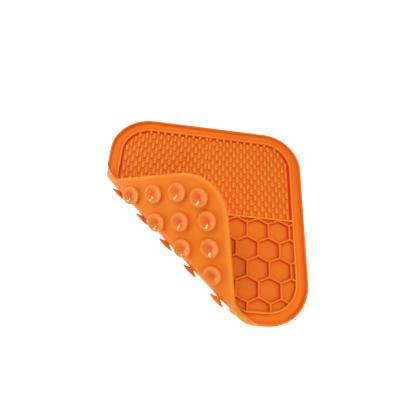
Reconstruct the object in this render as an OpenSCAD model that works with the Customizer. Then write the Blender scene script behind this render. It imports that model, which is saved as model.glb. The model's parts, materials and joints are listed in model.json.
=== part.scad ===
// Silicone lick mat, one corner folded over to show its suction cups.
// X runs right and Y up the mat, Z away from the table, all in millimetres.
// The mat is drawn flat, cut at the hinge lines of the fold, and each piece
// is then turned up by the hinges that come before it.

/* [Mat] */
// Side of the square mat
mat_side = 200; // [190:1:230]
// Outer corner radius
corner_r = 40; // [32:1:46]
// Thickness of the sheet
sheet_t = 2; // [1.5:0.1:2.6]

/* [Lip and rib] */
// Width of the lip round the edge
lip_w = 1.8; // [1.2:0.1:3]
// Height of the lip above the sheet
lip_h = 4; // [3:0.1:4.5]
// From the edge of the mat to the middle of the inner rib
rib_inset = 11.2; // [9:0.1:14]
// Width of the inner rib and of the divider
rib_w = 1.6; // [1.2:0.1:2.4]
// Height of the rib and of the divider above the sheet
rib_h = 3.4; // [2.6:0.1:4]
// Place of the divider above the middle of the mat
divider_y = 1; // [-4:0.5:6]

/* [Honeycomb] */
// Width of a honeycomb cell, wall to wall
cell_pitch = 21.1; // [18:0.1:24]
// Length of the straight wall between two zigzags
bar_len = 14; // [11:0.1:16]
// Height of one zigzag step
peak_h = 4.95; // [4:0.05:6]
// Width of the honeycomb walls
wall_w = 1.7; // [1.2:0.1:2.2]
// Height of the honeycomb walls above the sheet
wall_h = 3.4; // [2.6:0.1:4]

/* [Grains] */
// Spacing of the grains along a row
grain_pitch = 7.46; // [6.6:0.02:8.4]
// Spacing of the rows
row_pitch = 5.92; // [5.8:0.02:6.8]
// Length of a grain
grain_len = 5.5; // [4.6:0.1:5.7]
// Width of a grain
grain_w = 2.2; // [1.6:0.1:2.6]
// Height of a grain above its floor
grain_h = 2.1; // [1.5:0.1:2.8]
// Thickness of the raised floor under the grains
floor_h = 0.5; // [0.4:0.1:0.8]

/* [Suction cups] */
// Diameter of a cup's rim
cup_d = 16.4; // [14:0.1:18]
// Height of a cup, from the table to the sheet
cup_h = 3.5; // [3.3:0.1:5]
// Diameter of a cup's neck
neck_d = 4.8; // [3.6:0.1:5]
// Height of a cup's neck
neck_h = 0.7; // [0.5:0.1:0.9]
// Width of the flat ring that a cup stands on
rim_w = 1.6; // [1:0.1:2.2]
// Thickness of a cup at its rim
rim_t = 0.5; // [0.4:0.1:0.8]
// Depth of a cup's hollow
well_h = 2.3; // [1.8:0.1:2.5]
// Diameter of the flat end of a cup's hollow
well_d = 2; // [1.2:0.1:3]
// From the edge of the mat to the outer cups
cup_inset = 16.2; // [14:0.1:18]
// How much the outer cups stand out from the even spacing of the others
outer_cup_out = 2.3; // [0:0.05:4]
// How much further in the corner cups stand
corner_cup_in = 5.8; // [4:0.1:8]

/* [Fold] */
// Angle that the corner is folded over by
fold_angle = 138; // [120:1:144]
// Angle between the fold line and the mat's diagonal
fold_turn = 2.3; // [0:0.1:3]
// Flat width of a bending strip
strip_w = 3.8; // [3.6:0.1:4.3]
// From the middle of a cup of the cup strip to the strip's edge, at least
cup_hold = 1; // [0.6:0.1:1.4]

/* [Hidden] */
$fn = 64;

HINGES = 6;
PANEL = 0;
CUP_STRIP = HINGES / 2;
FLAP = HINGES;
cup_count = 8;
half = mat_side / 2;
// The tallest wall over the sheet, and what every cut runs past it
over = 1;
top_h = sheet_t + max(lip_h, rib_h, wall_h, floor_h + grain_h) + over;
// Insides of the lip and the rib
rib_out = half - rib_inset + rib_w / 2;
rib_in = rib_out - rib_w;
rib_in_r = corner_r - half + rib_in;
// What stands inside the rib stays this far from it
seat_gap = 0.3;
field = rib_in - seat_gap;
field_r = rib_in_r - seat_gap;

// Where the cups stand along X and along Y: evenly, but for the outer ones
last_cup = cup_count - 1;
cup_pitch = 2 * (half - cup_inset - outer_cup_out) / last_cup;
cup_line = [
    for (i = [0 : last_cup])
    i == 0 ? cup_inset - half
    : i == last_cup ? half - cup_inset
    : (i - last_cup / 2) * cup_pitch
];

// The way across the hinge lines, away from the folded corner
fold_way = [cos(45 + fold_turn), sin(45 + fold_turn), 0];
// Cups in diagonal rows, counted from the corner that folds over. The rows
// below this one ride on the flap, and the cup strip holds this one.
fold_row = cup_count / 2;
row_depths = [for (i = [0 : fold_row]) sheet_depth(cup_place(i, fold_row - i))];
cup_strip_w = max(row_depths) - min(row_depths) + 2 * cup_hold;
hinge_step = fold_angle / HINGES;
// Hinge lines, as distances from the middle of the mat along that way
first_hinge = max(row_depths) + cup_hold + 2 * strip_w;
hinge_s = [
    first_hinge,
    first_hinge - strip_w,
    first_hinge - 2 * strip_w,
    first_hinge - 2 * strip_w - cup_strip_w,
    first_hinge - 3 * strip_w - cup_strip_w,
    first_hinge - 4 * strip_w - cup_strip_w
];

// Zigzag lines run from the divider down, straight bars hang between them
comb_top = divider_y - rib_w / 2;
line_pitch = bar_len + peak_h;
line_count = floor((comb_top + rib_in) / line_pitch);
columns = ceil(2 * half / cell_pitch);
zig_angle = atan(2 * peak_h / cell_pitch);
zig_half = wall_w / cos(zig_angle) / 2;
notch = wall_w / 2 * tan(zig_angle);

// Grain rows run from the top rib down to the divider
grain_top = rib_in;
grain_bottom = divider_y + rib_w / 2 + seat_gap;
row_count = floor((grain_top - grain_bottom - grain_len / 2) / row_pitch);
grain_columns = floor(field / grain_pitch) + 1;

function sheet_depth(p) = p[0] * fold_way[0] + p[1] * fold_way[1];
// The body that carries a point of the sheet: panel, strips 1 to 5, flap
function body_at(s) = len([for (h = hinge_s) if (s < h) 1]);
// Whether a grain at that point can reach body b
function body_near(s, b) = body_at(s + grain_len) <= b && b <= body_at(s - grain_len);
function shrink(i, j) = (i == 0 || i == last_cup) && (j == 0 || j == last_cup) ? corner_cup_in : 0;
function cup_place(i, j) = [
    cup_line[i] - sign(cup_line[i]) * shrink(i, j),
    cup_line[j] - sign(cup_line[j]) * shrink(i, j)
];
function cup_body(i, j) = i + j < fold_row ? FLAP : i + j == fold_row ? CUP_STRIP : PANEL;
// Whether a point lies inside a rounded square
function inside(x, y, size, r) =
    max(abs(x), abs(y)) <= size
    && (min(abs(x), abs(y)) <= size - r
        || norm([abs(x) - size + r, abs(y) - size + r]) <= r);
// Height of zigzag line n at column k, in half cells
function zig_y(n, k) = comb_top - n * line_pitch - ((n + k) % 2 == 0 ? peak_h : 0);
function zig_k_y(n, k) = zig_y(n, abs(k));

// Shapes in the flat mat, with the underside of the sheet at zero

module rounded_square(size, r) {
    square([2 * (size - r), 2 * size], center = true);
    square([2 * size, 2 * (size - r)], center = true);
    for (x = [r - size, size - r]) {
        for (y = [r - size, size - r]) {
            translate([x, y]) circle(r);
        }
    }
}

module rounded_ring(outer, inner, outer_r) {
    difference() {
        rounded_square(outer, outer_r);
        rounded_square(inner, outer_r - outer + inner);
    }
}

// The slice of the flat mat that one body keeps. Its ends lean so that
// neighbours meet face to face when folded and clear each other when open.
module slice(b) {
    lean = tan(hinge_step / 2) * top_h;
    low = b == FLAP ? -mat_side : hinge_s[b];
    high = b == PANEL ? mat_side : hinge_s[b - 1];
    low_top = b == FLAP ? low : low + lean;
    high_top = b == PANEL ? high : high - lean;
    rotate([90, 0, 45 + fold_turn])
    linear_extrude(height = 2 * mat_side, center = true)
    polygon([[low, 0], [high, 0], [high_top, top_h], [low_top, top_h]]);
}

module hinge(i) {
    place = hinge_s[i] * fold_way;
    translate(place)
    rotate(a = hinge_step, v = [-fold_way[1], fold_way[0], 0])
    translate(-place)
    children();
}

// Stands a body's flat pieces on the table, turned up by the hinges before it
module fold_up(b) {
    if (b == PANEL) {
        translate([0, 0, cup_h]) children();
    } else {
        fold_up(b - 1) hinge(b - 1) children();
    }
}

module silicone() {
    color("#F07A22") children();
}

module sheet(b) {
    silicone() fold_up(b) intersection() {
        linear_extrude(height = sheet_t) rounded_square(half, corner_r);
        slice(b);
    }
}

module lip_shape() {
    translate([0, 0, sheet_t])
    linear_extrude(height = lip_h)
    rounded_ring(half, half - lip_w, corner_r);
}

module rib_shape() {
    translate([0, 0, sheet_t])
    linear_extrude(height = rib_h)
    rounded_ring(rib_out, rib_in, corner_r - half + rib_out);
}

module divider_shape() {
    reach = rib_in - seat_gap;
    translate([-reach, divider_y - rib_w / 2, sheet_t])
    cube([2 * reach, rib_w, rib_h]);
}

// The space inside the rib that grains and honeycomb keep to
module field_space() {
    translate([0, 0, sheet_t])
    linear_extrude(height = top_h)
    rounded_square(field, field_r);
}

module zigzag_shape(n) {
    ks = [-columns : columns];
    upper = [for (k = ks) [k * cell_pitch / 2, zig_k_y(n, k) + zig_half]];
    lower = [for (k = ks) [-k * cell_pitch / 2, zig_k_y(n, k) - zig_half]];
    intersection() {
        translate([0, 0, sheet_t])
        linear_extrude(height = wall_h)
        polygon(concat(upper, lower));
        // The first line stands clear of the divider
        translate([-half, -half, sheet_t])
        cube([mat_side, half + divider_y - rib_w / 2 - seat_gap, wall_h]);
    }
}

// A straight wall from zigzag n down to the next one, notched to fit both
module bar_shape(n, k) {
    top = zig_k_y(n, k) - zig_half;
    low = n < line_count ? zig_k_y(n + 1, k) + zig_half : -half;
    translate([k * cell_pitch / 2, 0, sheet_t])
    linear_extrude(height = wall_h)
    polygon([
        [0, top], [wall_w / 2, top + notch], [wall_w / 2, low - notch],
        [0, low], [-wall_w / 2, low - notch], [-wall_w / 2, top + notch]
    ]);
}

module zigzags_shape() {
    intersection() {
        for (n = [0 : line_count]) {
            zigzag_shape(n);
        }
        field_space();
    }
}

module bars_shape() {
    intersection() {
        for (n = [0 : line_count]) {
            for (k = [-columns : columns]) {
                if ((n + k) % 2 == 0 && abs(k) * cell_pitch / 2 < field - wall_w) {
                    bar_shape(n, k);
                }
            }
        }
        field_space();
    }
}

// A grain seen from above: long, with pointed ends
module grain_outline() {
    tip = grain_w / 4;
    end = grain_len / 2;
    shoulder = (grain_len - grain_w) / 2;
    polygon([
        [grain_w / 2, shoulder], [tip, end], [-tip, end], [-grain_w / 2, shoulder],
        [-grain_w / 2, -shoulder], [-tip, -end], [tip, -end], [grain_w / 2, -shoulder]
    ]);
}

// One row of grains, as far as body b reaches. The first row is joined to the rib.
module grain_row(n, b) {
    y = grain_top - n * row_pitch;
    start = n % 2 == 0 ? grain_pitch / 4 : 3 * grain_pitch / 4;
    upper_end = n == 0 ? y - grain_w : y + grain_len / 2;
    for (side = [-1, 1]) {
        for (k = [0 : grain_columns]) {
            x = side * (start + k * grain_pitch);
            fits = inside(abs(x) + grain_w / 2, upper_end, field, field_r);
            if (fits && body_near(sheet_depth([x, y]), b)) {
                translate([x, y]) grain_outline();
            }
        }
    }
}

// Grains and the raised floor that carries them
module grains_shape(b) {
    intersection() {
        union() {
            translate([0, 0, sheet_t])
            linear_extrude(height = floor_h)
            translate([-field, grain_bottom])
            square([2 * field, 2 * field]);
            translate([0, 0, sheet_t])
            linear_extrude(height = floor_h + grain_h)
            for (n = [0 : row_count]) {
                grain_row(n, b);
            }
        }
        field_space();
    }
}

module cup_shape() {
    rotate_extrude()
    polygon([
        [0, 0], [neck_d / 2, 0], [neck_d / 2, -neck_h], [cup_d / 2, rim_t - cup_h],
        [cup_d / 2, -cup_h], [cup_d / 2 - rim_w, -cup_h],
        [well_d / 2, well_h - cup_h], [0, well_h - cup_h]
    ]);
}

module cups(b) {
    silicone() fold_up(b)
    for (i = [0 : last_cup]) {
        for (j = [0 : last_cup]) {
            if (cup_body(i, j) == b) {
                translate(cup_place(i, j)) cup_shape();
            }
        }
    }
}

module lip(b) {
    silicone() fold_up(b) intersection() {
        lip_shape();
        slice(b);
    }
}

module rib(b) {
    silicone() fold_up(b) intersection() {
        rib_shape();
        slice(b);
    }
}

module divider(b) {
    silicone() fold_up(b) intersection() {
        divider_shape();
        slice(b);
    }
}

module zigzags(b) {
    silicone() fold_up(b) intersection() {
        zigzags_shape();
        slice(b);
    }
}

module cell_bars(b) {
    silicone() fold_up(b) intersection() {
        bars_shape();
        slice(b);
    }
}

// Strips 4 and 5 would carry only a sliver of the grains' floor, so they have none
module grains(b) {
    silicone() fold_up(b) intersection() {
        grains_shape(b);
        slice(b);
    }
}

// A bending strip's ends of lip and rib
module strip_edges(b) {
    lip(b);
    rib(b);
}

// A bending strip's piece of divider and honeycomb
module strip_comb(b) {
    divider(b);
    zigzags(b);
    cell_bars(b);
}

sheet(PANEL);  // panel_sheet
lip(PANEL);  // panel_lip
rib(PANEL);  // panel_rib
divider(PANEL);  // panel_divider
zigzags(PANEL);  // panel_zigzags
cell_bars(PANEL);  // panel_cell_bars
grains(PANEL);  // panel_grains
cups(PANEL);  // panel_cups
sheet(1);  // strip_1_sheet
strip_edges(1);  // strip_1_edges
strip_comb(1);  // strip_1_comb
grains(1);  // strip_1_grains
sheet(2);  // strip_2_sheet
strip_edges(2);  // strip_2_edges
strip_comb(2);  // strip_2_comb
grains(2);  // strip_2_grains
sheet(3);  // strip_3_sheet
strip_edges(3);  // strip_3_edges
strip_comb(3);  // strip_3_comb
grains(3);  // strip_3_grains
cups(3);  // strip_3_cups
sheet(4);  // strip_4_sheet
strip_edges(4);  // strip_4_edges
strip_comb(4);  // strip_4_comb
sheet(5);  // strip_5_sheet
strip_edges(5);  // strip_5_edges
strip_comb(5);  // strip_5_comb
sheet(FLAP);  // flap_sheet
lip(FLAP);  // flap_lip
rib(FLAP);  // flap_rib
zigzags(FLAP);  // flap_zigzags
cell_bars(FLAP);  // flap_cell_bars
cups(FLAP);  // flap_cups
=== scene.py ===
"""Looks of the silicone lick mat: the moulded skin with its lip and rib, the
grains, the honeycomb and the suction cups, bent smoothly where the corner is
folded over.

Everything is drawn flat in millimetres, with the underside of the sheet at
height zero, and is then cut across the fold and bent round the CAD's hinges.
"""

import json
import math

import bmesh
import bpy
from mathutils import Matrix, Vector

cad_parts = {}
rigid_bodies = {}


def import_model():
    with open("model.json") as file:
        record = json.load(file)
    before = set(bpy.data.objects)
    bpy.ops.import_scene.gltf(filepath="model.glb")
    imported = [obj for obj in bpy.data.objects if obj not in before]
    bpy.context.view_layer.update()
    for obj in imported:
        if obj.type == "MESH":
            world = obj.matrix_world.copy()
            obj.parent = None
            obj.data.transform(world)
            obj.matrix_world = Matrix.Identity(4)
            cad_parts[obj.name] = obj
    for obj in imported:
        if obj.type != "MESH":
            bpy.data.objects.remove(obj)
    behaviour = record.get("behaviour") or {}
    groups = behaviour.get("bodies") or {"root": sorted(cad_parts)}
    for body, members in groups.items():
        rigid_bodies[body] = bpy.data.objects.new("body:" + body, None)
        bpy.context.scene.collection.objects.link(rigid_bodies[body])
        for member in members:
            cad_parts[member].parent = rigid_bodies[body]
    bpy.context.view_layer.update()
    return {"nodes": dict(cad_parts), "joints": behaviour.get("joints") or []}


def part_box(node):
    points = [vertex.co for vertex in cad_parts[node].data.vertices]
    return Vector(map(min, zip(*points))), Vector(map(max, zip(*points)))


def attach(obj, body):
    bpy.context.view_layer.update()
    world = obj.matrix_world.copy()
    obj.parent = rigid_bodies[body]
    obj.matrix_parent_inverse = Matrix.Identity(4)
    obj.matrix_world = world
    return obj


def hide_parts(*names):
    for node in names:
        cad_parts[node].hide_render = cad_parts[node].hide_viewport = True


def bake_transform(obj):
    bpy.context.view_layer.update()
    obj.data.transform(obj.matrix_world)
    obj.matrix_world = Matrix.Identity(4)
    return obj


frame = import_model()

# Sizes, in millimetres

MM = 0.001

sheet_low, sheet_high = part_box("panel_sheet")
half = sheet_high.x / MM                    # half the side of the mat
table_gap = sheet_low.z / MM                # height of the cups
sheet_t = sheet_high.z / MM - table_gap


def top_of(node):
    """Height of a CAD node above the underside of the sheet."""
    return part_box(node)[1].z / MM - table_gap


lip_top = top_of("panel_lip")
rib_top = top_of("panel_rib")
wall_top = top_of("panel_zigzags")
grain_top = top_of("panel_grains")

# Mat, lip and rib
corner_r = 40
lip_w = 1.8
rib_inset = 11.2                            # from the mat's edge to the rib's middle
rib_w = 1.6
rib_in = half - rib_inset - rib_w / 2       # from the mat's middle to the rib's inner side
rib_in_r = corner_r - half + rib_in
edge_round = 0.6
under_round = edge_round * 0.9              # round the underside
crest_round = 0.6
foot_round = 0.7
wall_draft = 0.12
# A short flat stretch beside each rounding keeps the shading of flats flat
flat_hold = 0.3
# Loops of the underside inwards from its edge, for the painted highlight band along its
# rounded edge
band_loops = (0, 2, 3)

# Divider and honeycomb
divider_y = 1                               # middle of the divider
cell_pitch = 21.1
bar_len = 14
peak_h = 4.95
wall_w = 1.7
cell_crest_round = 0.55
cell_foot_round = 0.6
cell_shade = 0.6                            # band of the floor beside the walls, for painted shade there
foot_rise = 0.04                            # of the floor up to a wall's foot
comb_drop = 0.1                             # of the walls below the rib's crest
comb_lift = 0.05                            # of the floor above the sheet
comb_top = wall_top - comb_drop
comb_floor = sheet_t + comb_lift
comb_start_y = divider_y - rib_w / 2

# Grains
grain_pitch = 7.46
row_pitch = 5.92
grain_len = 7.8
grain_w = 3
grain_tip = 0.45                            # flat of a grain's end, as a share of its width
# A grain's side going up, as shares of its half width and of its height
grain_side = [(0, 0), (0.14, 0.5), (0.3, 0.84), (0.52, 1)]
floor_h = 0.5
floor_shade = 2.4                           # band of the floor beside the rib, for the rib's painted shade

# How far a part reaches into what carries it
sink = 0.3

# Suction cups
cup_d = 16.4
cup_sink = 0.6
neck_d = 4.8
neck_h = 0.7
rim_w = 1.6
rim_t = 0.5
well_h = 2.4
neck_round = 0.4
rim_round = 0.2
ring_round = 0.3
# The hollow's dish, as shares of its radius and of its depth
dish_shares = [(0.76, 0.375), (0.515, 0.69), (0.3, 0.9), (0.11, 1), (0, 1)]
cup_inset = 16.2
outer_cup_out = 2.3
corner_cup_in = 5.8
cups_in_row = 8
fold_row = cups_in_row // 2

# Fineness
CORNER_STEPS = 14
ROUND_STEPS = 3
CUP_STEPS = 40
MERGE_DISTANCE = 0.001
BEND_CUTS = 6                               # slices in one bend
LEAST_SPAN = 0.05                           # shorter flat parts are left out
SHARP_ANGLE = math.radians(52)              # where shading breaks

# Painted shade and light, stored on each vertex: from 0 for painted deep red shade in
# recesses to 1 for painted light on thin crests
UNDERSIDE_TONE = 0.54
# Painted light on the backs of the cups, which lie in shade under the sheet
CUP_BACK_TONE = 0.7
# Painted highlight along the underside's rounded edge, by distance from the mat's edge
BAND_TONES = [(0, 0.8), (2.8, 0.68), (3.4, UNDERSIDE_TONE)]
# Painted shade at the feet of walls and in recesses and painted light on crests, by share
# of height; the mat's outer side is painted lighter low down
LIP_TONES = [(0, 0.54), (0.3, 0.36), (0.8, 0.5), (1, 0.6)]
EDGE_TONES = [(-1, 0.85), (0.6, 0.7), (1, 0.5)]
RIB_TONES = [(0, 0.48), (0.15, 0.12), (0.4, 0), (0.8, 0.55), (1, 0.85)]
COMB_TONES = [(0, 0.44), (0.01, 0.1), (0.1, 0.05), (0.6, 0), (0.9, 0.3), (1, 0.58)]
GRAIN_TONES = [(0, 0.42), (0.2, 0.28), (0.4, 0.48), (0.8, 0.78), (1, 0.86)]
# Painted shade deep in the hollow and painted light on the ring, by share of the cup's
# radius
CUP_TONES = [(0, 0.16), (0.25, 0.34), (0.6, 0.56), (0.8, 0.64), (0.86, 0.86),
             (0.97, 0.82), (1, 0.5)]
CUP_BACK_FROM = 1.02                        # share of the hollow's depth, above which a cup takes the painted light of its back
FLOOR_SHADE_TO = 0.6                         # share of the band beside the rib with the deepest painted shade

# The fold

joints = frame["joints"]
bodies = [joints[0]["parent"]] + [j["child"] for j in joints]
hinge_turn = math.radians(-joints[0]["range_deg"][0])
ACROSS = Vector(joints[0]["axis"]).normalized()
UP = Vector((0, 0, 1))
FOLD_WAY = ACROSS.cross(UP)                 # from the folded corner to the panel
# Hinge points at rest, as distance along the fold way and height
hinge_at = []
for joint in joints:
    point = Vector(joint["pos_m"]) / MM
    hinge_at.append(Vector((point.dot(FOLD_WAY), point.z - table_gap)))
# The same hinges in the flat mat
hinge_s = [hinge_at[0].x]
for before, after in zip(hinge_at, hinge_at[1:]):
    hinge_s.append(hinge_s[-1] - (after - before).length)

# Each hinge is a bend, which takes as much of the sheet on both sides of its line
arm = (hinge_s[0] - hinge_s[1]) / 2
# Parts of the mat across the fold, by their ends and by their hinge or their body
spans = [(hinge_s[0] + arm, None, None, 0)]
for number, at in enumerate(hinge_s):
    spans.append((at - arm, at + arm, number, None))
    next_at = hinge_s[number + 1] + arm if number + 1 < len(hinge_s) else None
    if next_at is None or at - arm - next_at > LEAST_SPAN:
        spans.append((next_at, at - arm, None, number + 1))


def along(turn):
    """Direction of the sheet towards the folded corner, after a turn."""
    return Vector((-math.cos(turn), math.sin(turn)))


def inward(turn):
    """Direction off the sheet's upper side, after a turn."""
    return Vector((math.sin(turn), math.cos(turn)))


def lifted(turns, s, height):
    """Where a body that the given number of hinges turn carries a flat point."""
    if turns == 0:
        return Vector((s, height))
    angle = turns * hinge_turn
    hinge = turns - 1
    return (hinge_at[hinge] + along(angle) * (hinge_s[hinge] - s)
            + inward(angle) * height)


def folded(point):
    """Where a point of the flat mat is at rest, and how far it is turned."""
    s = point.dot(FOLD_WAY)
    turns = sum(1 for at in hinge_s if s < at - arm)
    if turns == len(hinge_s) or s >= hinge_s[turns] + arm:
        return lifted(turns, s, point.z), turns * hinge_turn
    # The bend is a parabola that leaves and meets both flat parts along them
    share = (hinge_s[turns] + arm - s) / (2 * arm)
    arm_in = along(turns * hinge_turn) * arm
    arm_out = along((turns + 1) * hinge_turn) * arm
    slope = arm_in * (1 - share) + arm_out * share
    turn = math.atan2(slope.y, -slope.x)
    spot = hinge_at[turns] - arm_in * (1 - share) ** 2 + arm_out * share ** 2
    return spot + inward(turn) * point.z, turn


def placed(flat_point, spot):
    """Row frame point, in metres, of a spot along the diagonal and up."""
    across = flat_point.dot(ACROSS)
    return (FOLD_WAY * spot.x + ACROSS * across + UP * (spot.y + table_gap)) * MM


# Making objects and meshes


def add_object(name, data):
    """A new object in the scene."""
    obj = bpy.data.objects.new(name, data)
    bpy.context.scene.collection.objects.link(obj)
    return obj


def made_mesh(name, bm):
    """A mesh from a finished drawing."""
    mesh = bpy.data.meshes.new(name)
    bm.to_mesh(mesh)
    bm.free()
    return mesh


def fill_holes(bm):
    """Closes each opening with a face, and gives the edges that were open."""
    open_edges = [e for e in bm.edges if e.is_boundary]
    bmesh.ops.holes_fill(bm, edges=open_edges, sides=0)
    return open_edges


def filleted(corners):
    """Points of an outline (x, y, radius), each corner rounded by its radius."""
    path = []
    for i, (x, y, radius) in enumerate(corners):
        here = Vector((x, y))
        if radius == 0:
            path.append(here)
            continue
        back = (Vector(corners[i - 1][:2]) - here).normalized()
        on = (Vector(corners[i + 1][:2]) - here).normalized()
        half_angle = back.angle(on) / 2
        centre = here + (back + on).normalized() * radius / math.sin(half_angle)
        spoke = here + back * radius / math.tan(half_angle) - centre
        side = 1 if back.x * on.y - back.y * on.x < 0 else -1
        for step in range(ROUND_STEPS + 1):
            turn = side * (math.pi - 2 * half_angle) * step / ROUND_STEPS
            path.append(centre + Matrix.Rotation(turn, 2) @ spoke)
    return path


def raise_faces(bm, faces, path):
    """Carries faces along a path of (inward, up), leaving a wall behind."""
    for before, after in zip(path, path[1:]):
        bmesh.ops.inset_individual(
            bm, faces=faces, thickness=after.x - before.x, depth=after.y - before.y,
            use_even_offset=True)


def rounded_plate(bm, reach, radius, height):
    """One flat face with round corners."""
    bmesh.ops.create_grid(bm, x_segments=1, y_segments=1, size=reach,
                          matrix=Matrix.Translation((0, 0, height)))
    bmesh.ops.bevel(bm, geom=bm.verts[:], offset=radius, segments=CORNER_STEPS,
                    profile=0.5, affect="VERTICES", material=-1)
    return bm.faces[:][0]


def close_below(bm, faces, depth):
    """Gives flat faces a thickness downwards, so that they make a solid."""
    rim = [e for f in faces for e in f.edges if e.is_boundary]
    side = bmesh.ops.extrude_edge_only(bm, edges=list(dict.fromkeys(rim)))
    new_verts = [g for g in side["geom"] if isinstance(g, bmesh.types.BMVert)]
    bmesh.ops.translate(bm, verts=new_verts, vec=(0, 0, -depth))
    fill_holes(bm)
    bmesh.ops.recalc_face_normals(bm, faces=bm.faces[:])


def trim(bm, at, normal, closed=False):
    """Cuts away what lies beyond a plane, and closes the cut of a solid."""
    geom = bm.verts[:] + bm.edges[:] + bm.faces[:]
    bmesh.ops.bisect_plane(bm, geom=geom, plane_co=at, plane_no=normal, clear_outer=True)
    if not closed:
        return
    for edge in fill_holes(bm):
        if edge.is_valid:
            edge.smooth = False


def trim_to_rib(bm, margin, way, closed=False):
    """Cuts a field off inside the rib, above (1) or below (-1) the divider."""
    reach = rib_in + margin
    radius = rib_in_r + margin
    trim(bm, (0, way * reach, 0), (0, way, 0), closed)
    for side in (-1, 1):
        trim(bm, (side * reach, 0, 0), (side, 0, 0), closed)
        centre = Vector((side * (reach - radius), way * (reach - radius), 0))
        for step in range(CORNER_STEPS):
            turn = (step + 0.5) / CORNER_STEPS * math.pi / 2
            normal = Vector((side * math.cos(turn), way * math.sin(turn), 0))
            trim(bm, centre + normal * radius, normal, closed)


# The flat moulding


def draw_skin():
    """Sheet, lip, channel, rib and inner floor as one skin."""
    rib_out = rib_inset - rib_w / 2
    rib_end = rib_inset + rib_w / 2
    path = filleted([
        (0, 0, 0),
        (0, edge_round, 0),
        (0, lip_top, crest_round),
        (lip_w, lip_top, crest_round),
        (lip_w + wall_draft, sheet_t, foot_round),
        (lip_w + wall_draft + foot_round + flat_hold, sheet_t, 0),
        (rib_out - wall_draft - foot_round - flat_hold, sheet_t, 0),
        (rib_out - wall_draft, sheet_t, foot_round),
        (rib_out, rib_top, crest_round),
        (rib_end, rib_top, crest_round),
        (rib_end + wall_draft, sheet_t, foot_round),
        (rib_end + wall_draft + foot_round + flat_hold, sheet_t, 0),
        (rib_end + wall_draft + foot_round + 2 * flat_hold, sheet_t, 0),
    ])
    bm = bmesh.new()
    face = rounded_plate(bm, half, corner_r, 0)
    raise_faces(bm, [face], path)
    bmesh.ops.bevel(bm, geom=fill_holes(bm), offset=under_round, segments=ROUND_STEPS,
                    profile=0.5, affect="EDGES", material=-1)
    underside = max(bm.faces, key=lambda face: face.calc_area())
    raise_faces(bm, [underside], [Vector((inset, 0)) for inset in band_loops])
    bmesh.ops.recalc_face_normals(bm, faces=bm.faces[:])
    return bm


def draw_cell(bm, x, top):
    """One honeycomb cell, as a flat face between the middles of its walls."""
    side = cell_pitch / 2
    shoulder = top - peak_h
    corners = [
        (x, top), (x - side, shoulder), (x - side, shoulder - bar_len),
        (x, shoulder - bar_len - peak_h),
        (x + side, shoulder - bar_len), (x + side, shoulder),
    ]
    verts = [bm.verts.new((cx, cy, comb_top)) for cx, cy in corners]
    bm.faces.new(verts)


def draw_comb():
    """Honeycomb walls with the floors of the cells, from divider to rib."""
    bm = bmesh.new()
    line_pitch = bar_len + peak_h
    columns = math.ceil(2 * half / cell_pitch) + 1
    rows = math.ceil(half / line_pitch)
    for row in range(-1, rows):
        for column in range(-columns, columns + 1):
            if (row + column) % 2:
                draw_cell(bm, column * cell_pitch / 2, comb_start_y - row * line_pitch)
    bmesh.ops.remove_doubles(bm, verts=bm.verts[:], dist=MERGE_DISTANCE)
    path = filleted([
        (0, comb_top, 0),
        (wall_w / 2, comb_top, cell_crest_round),
        (wall_w / 2 + wall_draft, comb_floor + foot_rise, cell_foot_round),
        (wall_w / 2 + wall_draft + cell_foot_round + cell_shade, comb_floor, 0),
    ])
    raise_faces(bm, bm.faces[:], path)
    rim_faces = [f for f in bm.faces if any(e.is_boundary for e in f.edges)]
    close_below(bm, rim_faces, comb_top - sheet_t + sink)
    # The field ends inside the divider and the rib
    trim(bm, (0, divider_y, 0), (0, 1, 0), closed=True)
    trim_to_rib(bm, rib_w / 2, -1, closed=True)
    return bm


def draw_divider():
    """The raised line between the grains and the honeycomb."""
    path = filleted([
        (0, sheet_t - sink, 0),
        (0, sheet_t, 0),
        (wall_draft, rib_top, crest_round),
        (rib_w / 2, rib_top, 0),
    ])
    bm = bmesh.new()
    reach = rib_in + rib_w / 2
    scale = Matrix.Diagonal((2 * reach, rib_w + 2 * wall_draft, 1, 1))
    at = Matrix.Translation((0, divider_y, sheet_t - sink))
    bmesh.ops.create_grid(bm, x_segments=1, y_segments=1, size=0.5, matrix=at @ scale)
    raise_faces(bm, bm.faces[:], path[:-1])
    fill_holes(bm)
    bmesh.ops.recalc_face_normals(bm, faces=bm.faces[:])
    return bm


def draw_grain(bm, x, y, floor):
    """One long grain with a rounded crest, standing on its floor."""
    side = grain_w / 2
    end = grain_len / 2
    shoulder = end - side
    tip = side * grain_tip
    outline = [
        (side, shoulder), (tip, end), (-tip, end), (-side, shoulder),
        (-side, -shoulder), (-tip, -end), (tip, -end), (side, -shoulder),
    ]
    verts = [bm.verts.new((x + ox, y + oy, floor - sink)) for ox, oy in outline]
    face = bm.faces.new(verts)
    height = grain_top - floor
    rise = [Vector((a * side, b * height)) for a, b in grain_side]
    raise_faces(bm, [face], [Vector((0, -sink)), *rise])


def in_field(x, y):
    """Whether a place lies inside the rib's rounded square."""
    corner = rib_in - rib_in_r
    if min(x, y) > corner:
        return math.hypot(x - corner, y - corner) <= rib_in_r
    return max(x, y) <= rib_in


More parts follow.
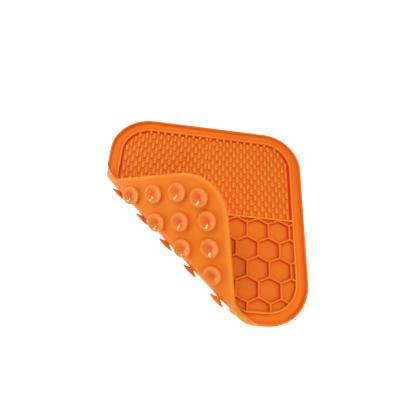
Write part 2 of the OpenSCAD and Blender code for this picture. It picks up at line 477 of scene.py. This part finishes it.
def draw_grains():
    """The raised floor of the upper field, and the grains on it."""
    floor = sheet_t + floor_h
    bm = bmesh.new()
    plate = rounded_plate(bm, rib_in + sink, rib_in_r + sink, floor)
    # Loops beside the rib, for the band of painted shade there
    loops = (0, sink + floor_shade / 2, sink + floor_shade)
    raise_faces(bm, [plate], [Vector((inset, 0)) for inset in loops])
    trim(bm, (0, divider_y, 0), (0, -1, 0))
    close_below(bm, bm.faces[:], floor_h + sink)
    rows = int((rib_in - divider_y - rib_w / 2) / row_pitch)
    columns = int(rib_in / grain_pitch) + 1
    for row in range(rows + 1):
        y = rib_in - row * row_pitch
        start = grain_pitch / 4 if row % 2 == 0 else 3 * grain_pitch / 4
        for column in range(columns):
            x = start + column * grain_pitch
            if in_field(x + grain_w / 2, y - grain_len / 4):
                draw_grain(bm, x, y, floor)
                draw_grain(bm, -x, y, floor)
    fill_holes(bm)
    trim_to_rib(bm, sink / 2, 1, closed=True)
    bmesh.ops.recalc_face_normals(bm, faces=bm.faces[:])
    return bm


def draw_cup():
    """One suction cup, hanging from the underside of the sheet."""
    neck = neck_d / 2
    rim = cup_d / 2
    low = -table_gap
    outline = filleted([
        (0, cup_sink, 0),
        (neck, cup_sink, 0),
        (neck, -neck_h, neck_round),
        (rim, low + rim_t, rim_round),
        (rim, low, rim_round),
        (rim - rim_w, low, ring_round),
        *[((rim - rim_w) * r, low + well_h * h, 0) for r, h in dish_shares],
    ])
    bm = bmesh.new()
    verts = [bm.verts.new((p.x, 0, p.y)) for p in outline]
    for a, b in zip(verts, verts[1:]):
        bm.edges.new((a, b))
    bmesh.ops.spin(bm, geom=bm.verts[:] + bm.edges[:], cent=(0, 0, 0), axis=(0, 0, 1),
                   angle=2 * math.pi, steps=CUP_STEPS, use_merge=True)
    bmesh.ops.remove_doubles(bm, verts=bm.verts[:], dist=MERGE_DISTANCE)
    bmesh.ops.recalc_face_normals(bm, faces=bm.faces[:])
    return bm


def cup_places():
    """Middle of each cup in the flat mat, and the index of the body it rides."""
    last = cups_in_row - 1
    pitch = 2 * (half - cup_inset - outer_cup_out) / last
    line = [(i - last / 2) * pitch for i in range(cups_in_row)]
    line[0] -= outer_cup_out
    line[last] += outer_cup_out
    for i, x in enumerate(line):
        for j, y in enumerate(line):
            corner = i in (0, last) and j in (0, last)
            shift = corner_cup_in if corner else 0
            place = Vector((x - math.copysign(shift, x), y - math.copysign(shift, y), 0))
            if i + j == fold_row:
                body = len(joints) // 2
            else:
                body = 0 if i + j > fold_row else len(joints)
            yield place, body


# Painted shade and light of a place on the flat moulding


def tone_between(steps, place):
    """Tone at a place on a scale, from rising steps of (place, tone)."""
    if place <= steps[0][0]:
        return steps[0][1]
    for (low, low_tone), (high, high_tone) in zip(steps, steps[1:]):
        if place <= high:
            return low_tone + (high_tone - low_tone) * (place - low) / (high - low)
    return steps[-1][1]


def edge_inset(point):
    """How far a flat point lies inside the mat's outline."""
    corner = half - corner_r
    across_x = abs(point.x) - corner
    across_y = abs(point.y) - corner
    if min(across_x, across_y) > 0:
        return corner_r - math.hypot(across_x, across_y)
    return corner_r - max(across_x, across_y)


def skin_tone(point):
    """Painted shade and light of sheet, lip and rib by height, and of the underside by
    distance from its edge.
    """
    inset = edge_inset(point)
    if point.z < sheet_t / 2:
        return tone_between(BAND_TONES, inset)
    if inset > rib_inset / 2:
        return tone_between(RIB_TONES, (point.z - sheet_t) / (rib_top - sheet_t))
    steps = EDGE_TONES if inset < wall_draft else LIP_TONES
    return tone_between(steps, (point.z - sheet_t) / (lip_top - sheet_t))


def divider_tone(point):
    """Painted shade and light of the divider by height."""
    return tone_between(RIB_TONES, (point.z - sheet_t) / (rib_top - sheet_t))


def comb_tone(point):
    """Painted shade and light of the honeycomb by height, with painted shade beside the
    walls.
    """
    return tone_between(COMB_TONES, (point.z - comb_floor) / (comb_top - comb_floor))


def grain_tone(point):
    """Painted shade and light of the grains by height above their floor, with the rib's
    painted shade on the floor beside it.
    """
    floor = sheet_t + floor_h
    shade_to = half - rib_in + floor_shade * FLOOR_SHADE_TO
    if edge_inset(point) < shade_to and point.z < floor + sink:
        return 0
    return tone_between(GRAIN_TONES, (point.z - floor) / (grain_top - floor))


def cup_tone(point):
    """Painted light at a cup's ring and back, painted shade deep in its hollow."""
    rim = cup_d / 2
    share = math.hypot(point.x, point.y) / rim
    if point.z > -table_gap + well_h * CUP_BACK_FROM:
        return CUP_BACK_TONE
    return tone_between(CUP_TONES, share)


# Cutting and bending


def slice_of(flat, low, high, cuts):
    """A copy of a flat drawing between two lines across the fold."""
    bm = flat.copy()
    for at, way in ((high, FOLD_WAY), (low, -FOLD_WAY)):
        if at is None:
            continue
        trim(bm, FOLD_WAY * at, way, closed=True)
    for at in cuts:
        geom = bm.verts[:] + bm.edges[:] + bm.faces[:]
        bmesh.ops.bisect_plane(bm, geom=geom, plane_co=FOLD_WAY * at, plane_no=FOLD_WAY)
    return bm


def shade(bm):
    """Smooth faces with crisp edges where the surface turns sharply."""
    for face in bm.faces:
        face.smooth = True
    for edge in bm.edges:
        if edge.is_manifold and edge.calc_face_angle(0) > SHARP_ANGLE:
            edge.smooth = False


def keep_tones(mesh, tones):
    """Stores each vertex's painted shade and light, which the silicone reads."""
    layer = mesh.attributes.new("painted_shading", "FLOAT", "POINT")
    layer.data.foreach_set("value", tones)


def bent_piece(name, bm, painted_shading):
    """A mesh object from a flat drawing, bent into place with its shading."""
    shade(bm)
    mesh = made_mesh(name, bm)
    keep_tones(mesh, [painted_shading(vert.co) for vert in mesh.vertices])
    flat_normals = [Vector(n.vector) for n in mesh.corner_normals]
    turns = []
    for vert in mesh.vertices:
        flat = vert.co.copy()
        spot, turn = folded(flat)
        turns.append(turn)
        vert.co = placed(flat, spot)
    turned = []
    for loop, normal in zip(mesh.loops, flat_normals):
        turned.append(Matrix.Rotation(turns[loop.vertex_index], 3, ACROSS) @ normal)
    mesh.normals_split_custom_set(turned)
    return add_object(name, mesh)


def finish_piece(obj, finish, *nodes):
    """Gives a piece its silicone and lets it stand for its CAD nodes."""
    obj.data.materials.append(finish)
    known = [n for n in nodes if n in frame["nodes"]]
    if known:
        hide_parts(*known)


def bend_cuts(hinge):
    """Lines across the fold where a bend is sliced."""
    return [hinge_s[hinge] + arm * (1 - 2 * step / BEND_CUTS)
            for step in range(1, BEND_CUTS)]


def bend_between(obj, hinge):
    """Bakes a piece's place into its mesh; the hinge is not used."""
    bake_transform(obj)


def dress(part, flat, painted_shading, panel_nodes, strip_nodes, flap_nodes):
    """Cuts one flat drawing into its parts across the fold, and puts them in place."""
    flat_bodies = [body for *_, body in spans]
    for low, high, hinge, body in spans:
        bm = slice_of(flat, low, high, [] if hinge is None else bend_cuts(hinge))
        if not bm.faces:
            bm.free()
            continue
        strip = body if hinge is None else hinge + 1
        nodes = [f"strip_{strip}_{n}" for n in strip_nodes]
        if hinge is not None:
            obj = bent_piece(f"{part}_bend_{strip}", bm, painted_shading)
            # A strip with a flat part of its own is replaced by that
            finish_piece(obj, mat_silicone, *([] if strip in flat_bodies else nodes))
            bend_between(obj, hinge)
            continue
        obj = bent_piece(f"{part}_{bodies[body]}", bm, painted_shading)
        nodes = {0: panel_nodes, len(joints): flap_nodes}.get(body, nodes)
        finish_piece(obj, mat_silicone, *nodes)
        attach(obj, bodies[body])
    flat.free()


def dress_cups():
    """Puts the cups under the panel, the middle strip and the flap."""
    cup_mesh = made_mesh("cup", draw_cup())
    tones = [cup_tone(vert.co) for vert in cup_mesh.vertices]
    groups = {}
    for place, body in cup_places():
        groups.setdefault(body, []).append(place)
    for body, places in groups.items():
        bm = bmesh.new()
        turn = Matrix.Rotation(body * hinge_turn, 4, ACROSS)
        for place in places:
            spot = placed(place, lifted(body, place.dot(FOLD_WAY), 0))
            set_place = Matrix.Translation(spot) @ turn @ Matrix.Scale(MM, 4)
            first = len(bm.verts)
            bm.from_mesh(cup_mesh)
            bm.verts.ensure_lookup_table()
            bmesh.ops.transform(bm, verts=bm.verts[first:], matrix=set_place)
        shade(bm)
        name = f"cups_{bodies[body]}"
        mesh = made_mesh(name, bm)
        keep_tones(mesh, tones * len(places))
        obj = add_object(name, mesh)
        finish_piece(obj, cup_silicone, f"{bodies[body]}_cups")
        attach(obj, bodies[body])
    bpy.data.meshes.remove(cup_mesh)


# Material

CLOUD_SCALE = 30
CLOUD_STRENGTH = 0.16                       # in tone; half of it is added on average
HAZE_SCALE = 60
TEXTURE_SCALE = 1800
TEXTURE_DEPTH = 0.2 * MM
# Colours from painted shade to painted light: deep red for painted shade in recesses, the
# silicone's orange between, and a lighter orange for painted light on crests; with the
# clouds
COLOURS = [
    (0.08, (0.82, 0.034, 0.012)),
    (0.58, (0.90, 0.205, 0.010)),
    (1, (0.97, 0.340, 0.030)),
]


def add_noise(tree, where, scale, detail):
    """Soft random clouds over a piece."""
    noise = tree.nodes.new("ShaderNodeTexNoise")
    noise.inputs["Scale"].default_value = scale
    noise.inputs["Detail"].default_value = detail
    tree.links.new(where, noise.inputs["Vector"])
    return noise.outputs["Fac"]


def make_silicone(name, shine, least_rough, most_rough):
    """Soft orange silicone with each vertex's painted shade and light in its colour, a
    little uneven in colour and gloss.
    """
    material = bpy.data.materials.new(name)
    material.use_nodes = True
    tree = material.node_tree
    nodes = tree.nodes
    links = tree.links
    shader = nodes["Principled BSDF"]
    shader.inputs["IOR"].default_value = 1.42
    shader.inputs["Specular IOR Level"].default_value = shine
    # Light goes a little way into the silicone, red the furthest
    shader.inputs["Subsurface Weight"].default_value = 0.2
    shader.inputs["Subsurface Radius"].default_value = (1, 0.2, 0.06)
    shader.inputs["Subsurface Scale"].default_value = 2 * MM
    where = nodes.new("ShaderNodeTexCoord").outputs["Object"]

    # The painted shade and light stored on each vertex, made a little uneven by the clouds
    painted_shading = nodes.new("ShaderNodeAttribute")
    painted_shading.attribute_name = "painted_shading"
    uneven = nodes.new("ShaderNodeMath")
    uneven.operation = "MULTIPLY_ADD"
    uneven.inputs[1].default_value = CLOUD_STRENGTH
    links.new(add_noise(tree, where, CLOUD_SCALE, 3), uneven.inputs[0])
    links.new(painted_shading.outputs["Fac"], uneven.inputs[2])
    tint = nodes.new("ShaderNodeValToRGB")
    stops = tint.color_ramp.elements
    stops[0].position = COLOURS[0][0]
    stops[1].position = COLOURS[1][0]
    stops.new(COLOURS[2][0])
    for stop, (_, colour) in zip(stops, COLOURS):
        stop.color = (*colour, 1)
    links.new(uneven.outputs["Value"], tint.inputs["Fac"])
    links.new(tint.outputs["Color"], shader.inputs["Base Color"])

    gloss = nodes.new("ShaderNodeMapRange")
    gloss.inputs["To Min"].default_value = least_rough
    gloss.inputs["To Max"].default_value = most_rough
    links.new(add_noise(tree, where, HAZE_SCALE, 2), gloss.inputs["Value"])
    links.new(gloss.outputs["Result"], shader.inputs["Roughness"])

    bump = nodes.new("ShaderNodeBump")
    bump.inputs["Strength"].default_value = 0.08
    bump.inputs["Distance"].default_value = TEXTURE_DEPTH
    links.new(add_noise(tree, where, TEXTURE_SCALE, 2), bump.inputs["Height"])
    links.new(bump.outputs["Normal"], shader.inputs["Normal"])
    return material


# The cups are moulded smoother than the mat, so that they seal
mat_silicone = make_silicone(
    "satin_silicone", shine=0.3, least_rough=0.32, most_rough=0.44)
cup_silicone = make_silicone(
    "glossy_silicone", shine=0.62, least_rough=0.08, most_rough=0.14)

dress("skin", draw_skin(), skin_tone,
      ["panel_sheet", "panel_lip", "panel_rib"], ["sheet", "edges"],
      ["flap_sheet", "flap_lip", "flap_rib"])
dress("comb", draw_comb(), comb_tone,
      ["panel_zigzags", "panel_cell_bars"], ["comb"],
      ["flap_zigzags", "flap_cell_bars"])
dress("divider", draw_divider(), divider_tone, ["panel_divider"], [], [])
dress("grains", draw_grains(), grain_tone, ["panel_grains"], ["grains"], [])
dress_cups()

# Floor, light and camera

FLOOR_REACH = 4                             # in metres
SPOT_ANGLE = math.radians(60)


def make_floor():
    """A plain white floor."""
    bm = bmesh.new()
    bmesh.ops.create_grid(bm, x_segments=1, y_segments=1, size=FLOOR_REACH)
    mesh = made_mesh("floor", bm)
    material = bpy.data.materials.new("floor_white")
    material.use_nodes = True
    shader = material.node_tree.nodes["Principled BSDF"]
    shader.inputs["Base Color"].default_value = (0.8, 0.8, 0.8, 1)
    shader.inputs["Roughness"].default_value = 0.9
    shader.inputs["Emission Color"].default_value = (1, 1, 1, 1)
    shader.inputs["Emission Strength"].default_value = 0.85
    mesh.materials.append(material)
    add_object("floor", mesh)


def soft_spot(name, aim, way, distance, power, size):
    """A soft studio spot that surfaces don't mirror. Lengths in millimetres."""
    light = bpy.data.lights.new(name, "SPOT")
    light.energy = power
    light.spot_size = SPOT_ANGLE
    light.spot_blend = 1
    light.shadow_soft_size = size * MM
    lamp = add_object(name, light)
    at = aim + distance * Vector(way)
    lamp.location = at * MM
    lamp.rotation_euler = (aim - at).to_track_quat("-Z", "Y").to_euler()
    lamp.visible_glossy = False


def soft_window(name, at, facing, upward, width, height, power):
    """A rectangular light, which draws its mirror image in the cups. In millimetres."""
    light = bpy.data.lights.new(name, "AREA")
    light.shape = "RECTANGLE"
    light.size = width * MM
    light.size_y = height * MM
    light.energy = power
    lamp = add_object(name, light)
    lamp.location = at * MM
    back = -facing.normalized()
    side = upward.cross(back).normalized()
    lamp.rotation_euler = Matrix((side, back.cross(side), back)).transposed().to_euler()
    lamp.visible_camera = False
    return lamp


make_floor()
# One light stands over the grains, one on the honeycomb's side and one in front
flap_middle = Vector((-55, 35, 15))
comb_middle = Vector((60, -50, 5))
grains_middle = Vector((-30, 55, 5))
soft_spot("left_light", grains_middle, (-0.4, 0.25, 0.88),
          distance=420, power=2.7, size=90)
soft_spot("right_light", comb_middle, (0.69, 0.21, 0.73),
          distance=400, power=1.6, size=50)
soft_spot("front_light", comb_middle, (0.1, -0.68, 0.72),
          distance=400, power=1.4, size=60)
# A narrow window draws the glints in the cups, and a wide one their pale right sides
glint_way = 420 * Vector((-0.52, 0.1, 0.85))
glint_window = soft_window(
    "glint_window", flap_middle + glint_way, facing=-glint_way,
    upward=Vector((0.34, 0.47, 0.46)), width=60, height=220, power=0.9)
glint_window.visible_diffuse = False
soft_window("side_window", Vector((-340, -60, 80)), facing=Vector((1, 0.1, 0)),
            upward=UP, width=140, height=120, power=0.15)

world = bpy.data.worlds.new("studio")
world.use_nodes = True
sky = world.node_tree.nodes["Background"]
sky.inputs["Color"].default_value = (1, 1, 1, 1)
sky.inputs["Strength"].default_value = 0.5
bpy.context.scene.world = world
bpy.context.scene.view_settings.view_transform = "Standard"

# The photograph's viewing angle: nearly from above, a little from the front left
camera_at = Vector((-38.28, -126.93, 316.8)) * MM
aim_at = Vector((-5.27, 14.76, 5.5)) * MM
camera_roll = math.radians(17.96)

camera_data = bpy.data.cameras.new("camera")
camera_data.lens = 31.08
camera_data.sensor_width = 36
camera_data.clip_start = 0.01
camera = add_object("camera", camera_data)
look = (aim_at - camera_at).to_track_quat("-Z", "Y").to_matrix()
turn = look @ Matrix.Rotation(camera_roll, 3, "Z")
camera.matrix_world = Matrix.Translation(camera_at) @ turn.to_4x4()
bpy.context.scene.camera = camera
